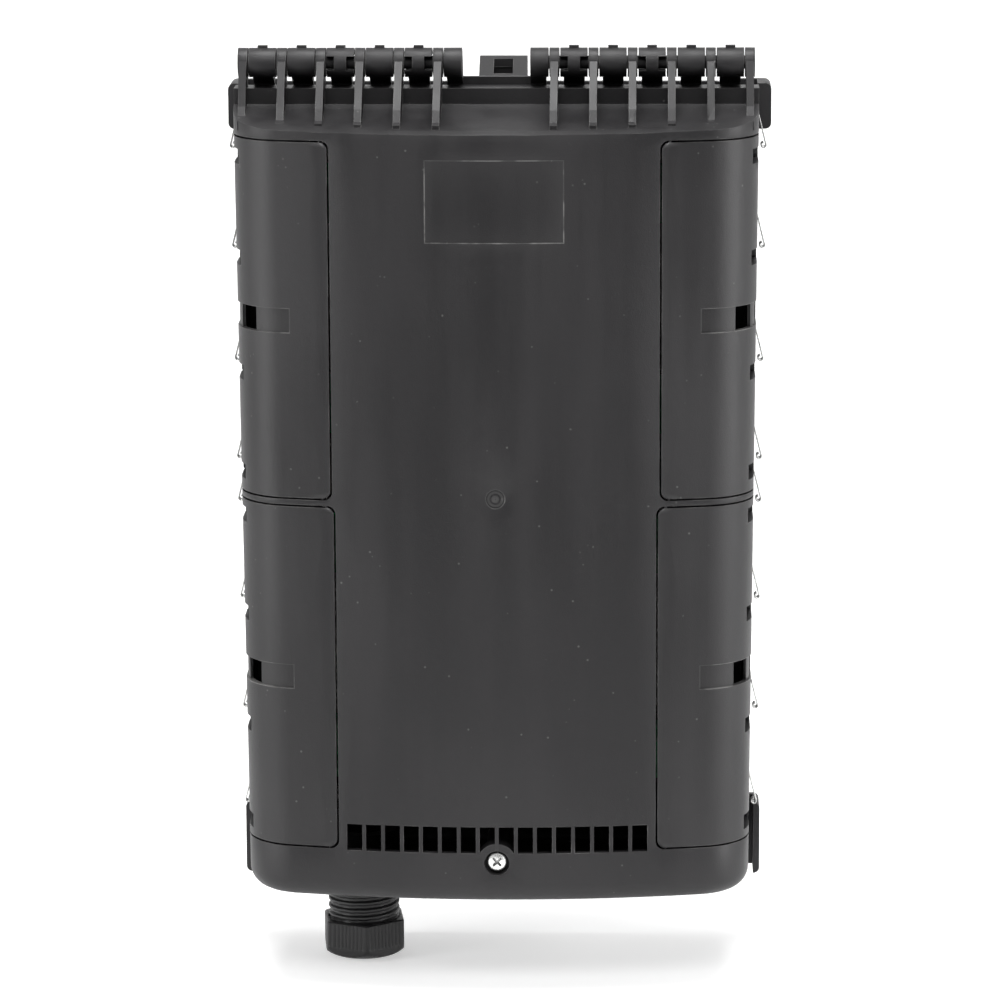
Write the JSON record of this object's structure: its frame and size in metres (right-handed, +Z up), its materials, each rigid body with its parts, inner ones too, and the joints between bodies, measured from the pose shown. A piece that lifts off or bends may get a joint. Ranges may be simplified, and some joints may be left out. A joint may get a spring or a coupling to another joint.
{
  "type": "fibre optic distribution box",
  "caption": "Wall or pole mounted fibre distribution box with a top hinged front cover, side covers over cable ports, a vented skirt with a lock screw and a cable gland below",
  "frame": {"origin": "middle of the wall face, on the rear of the bracket plate", "axes": "+Z up, +X to the right seen from the front, +Y into the wall"},
  "size_m": [0.226, 0.098, 0.3922],
  "materials": {
    "shell": "black moulded plastic, fine matt texture",
    "gland": "black nylon",
    "rubber": "black rubber",
    "steel": "zinc plated steel",
    "spring": "stainless spring sheet",
    "brass": "plain brass",
    "tray": "light grey plastic",
    "lid": "clear plastic lid",
    "adapter": "green moulded plastic"
  },
  "bodies": {
    "base": {"base_shell": "shell", "wall_bracket": "shell", "bracket_screws": "steel", "lock_insert": "brass", "gland_body": "gland", "gland_gasket": "rubber", "gland_locknut": "gland", "gland_sleeve": "rubber", "splice_tray": "tray", "splice_holder": "rubber", "tray_lid": "lid", "tray_screws": "steel", "splitter_cassette": "tray", "panel_screws": "steel", "clamp_saddle": "steel", "clamp_screws": "steel", "strength_member_screw": "steel", "cover_gasket_top": "rubber", "cover_gasket_bottom": "rubber", "adapter_panel_left": "tray", "adapter_panel_right": "tray", "port_clip_left_1": "spring", "port_clip_left_2": "spring", "port_clip_left_3": "spring", "port_clip_left_4": "spring", "port_clip_left_5": "spring", "port_clip_left_6": "spring", "port_clip_left_7": "spring", "port_clip_left_8": "spring", "port_clip_right_1": "spring", "port_clip_right_2": "spring", "port_clip_right_3": "spring", "port_clip_right_4": "spring", "port_clip_right_5": "spring", "port_clip_right_6": "spring", "port_clip_right_7": "spring", "port_clip_right_8": "spring", "port_seal_upper_left": "rubber", "port_seal_upper_right": "rubber", "port_seal_lower_left": "rubber", "port_seal_lower_right": "rubber", "twin_adapter_left_1": "adapter", "twin_adapter_left_2": "adapter", "twin_adapter_left_3": "adapter", "twin_adapter_left_4": "adapter", "twin_adapter_right_1": "adapter", "twin_adapter_right_2": "adapter", "twin_adapter_right_3": "adapter", "twin_adapter_right_4": "adapter"},
    "cover": {"front_cover": "shell"},
    "lock": {"lock_screw": "steel", "lock_retaining_ring": "steel"},
    "gland_cap": {"gland_nut": "gland"},
    "panel_upper_left": {"side_cover_upper_left": "shell"},
    "panel_upper_right": {"side_cover_upper_right": "shell"},
    "panel_lower_left": {"side_cover_lower_left": "shell"},
    "panel_lower_right": {"side_cover_lower_right": "shell"}
  },
  "joints": [
    {"name": "cover_hinge", "type": "hinge", "parent": "base", "child": "cover", "pos_m": [0, -0.057, 0.1825], "axis": [-1, 0, 0], "range_deg": [0, 110]},
    {"name": "lock_turn", "type": "hinge", "parent": "cover", "child": "lock", "pos_m": [0, -0.06, -0.1444], "axis": [0, 1, 0], "continuous": true},
    {"name": "gland_turn", "type": "hinge", "parent": "base", "child": "gland_cap", "pos_m": [-0.059, -0.0295, -0.195], "axis": [0, 0, 1], "continuous": true},
    {"name": "side_cover_upper_left_hinge", "type": "hinge", "parent": "cover", "child": "panel_upper_left", "pos_m": [-0.0703, -0.09037, 0.0811], "axis": [0, 0, 1], "range_deg": [0, 100]},
    {"name": "side_cover_upper_right_hinge", "type": "hinge", "parent": "cover", "child": "panel_upper_right", "pos_m": [0.0703, -0.09037, 0.0811], "axis": [0, 0, -1], "range_deg": [0, 100]},
    {"name": "side_cover_lower_left_hinge", "type": "hinge", "parent": "cover", "child": "panel_lower_left", "pos_m": [-0.069, -0.0906, -0.0674], "axis": [0, 0, 1], "range_deg": [0, 100]},
    {"name": "side_cover_lower_right_hinge", "type": "hinge", "parent": "cover", "child": "panel_lower_right", "pos_m": [0.069, -0.0906, -0.0674], "axis": [0, 0, -1], "range_deg": [0, 100]}
  ]
}
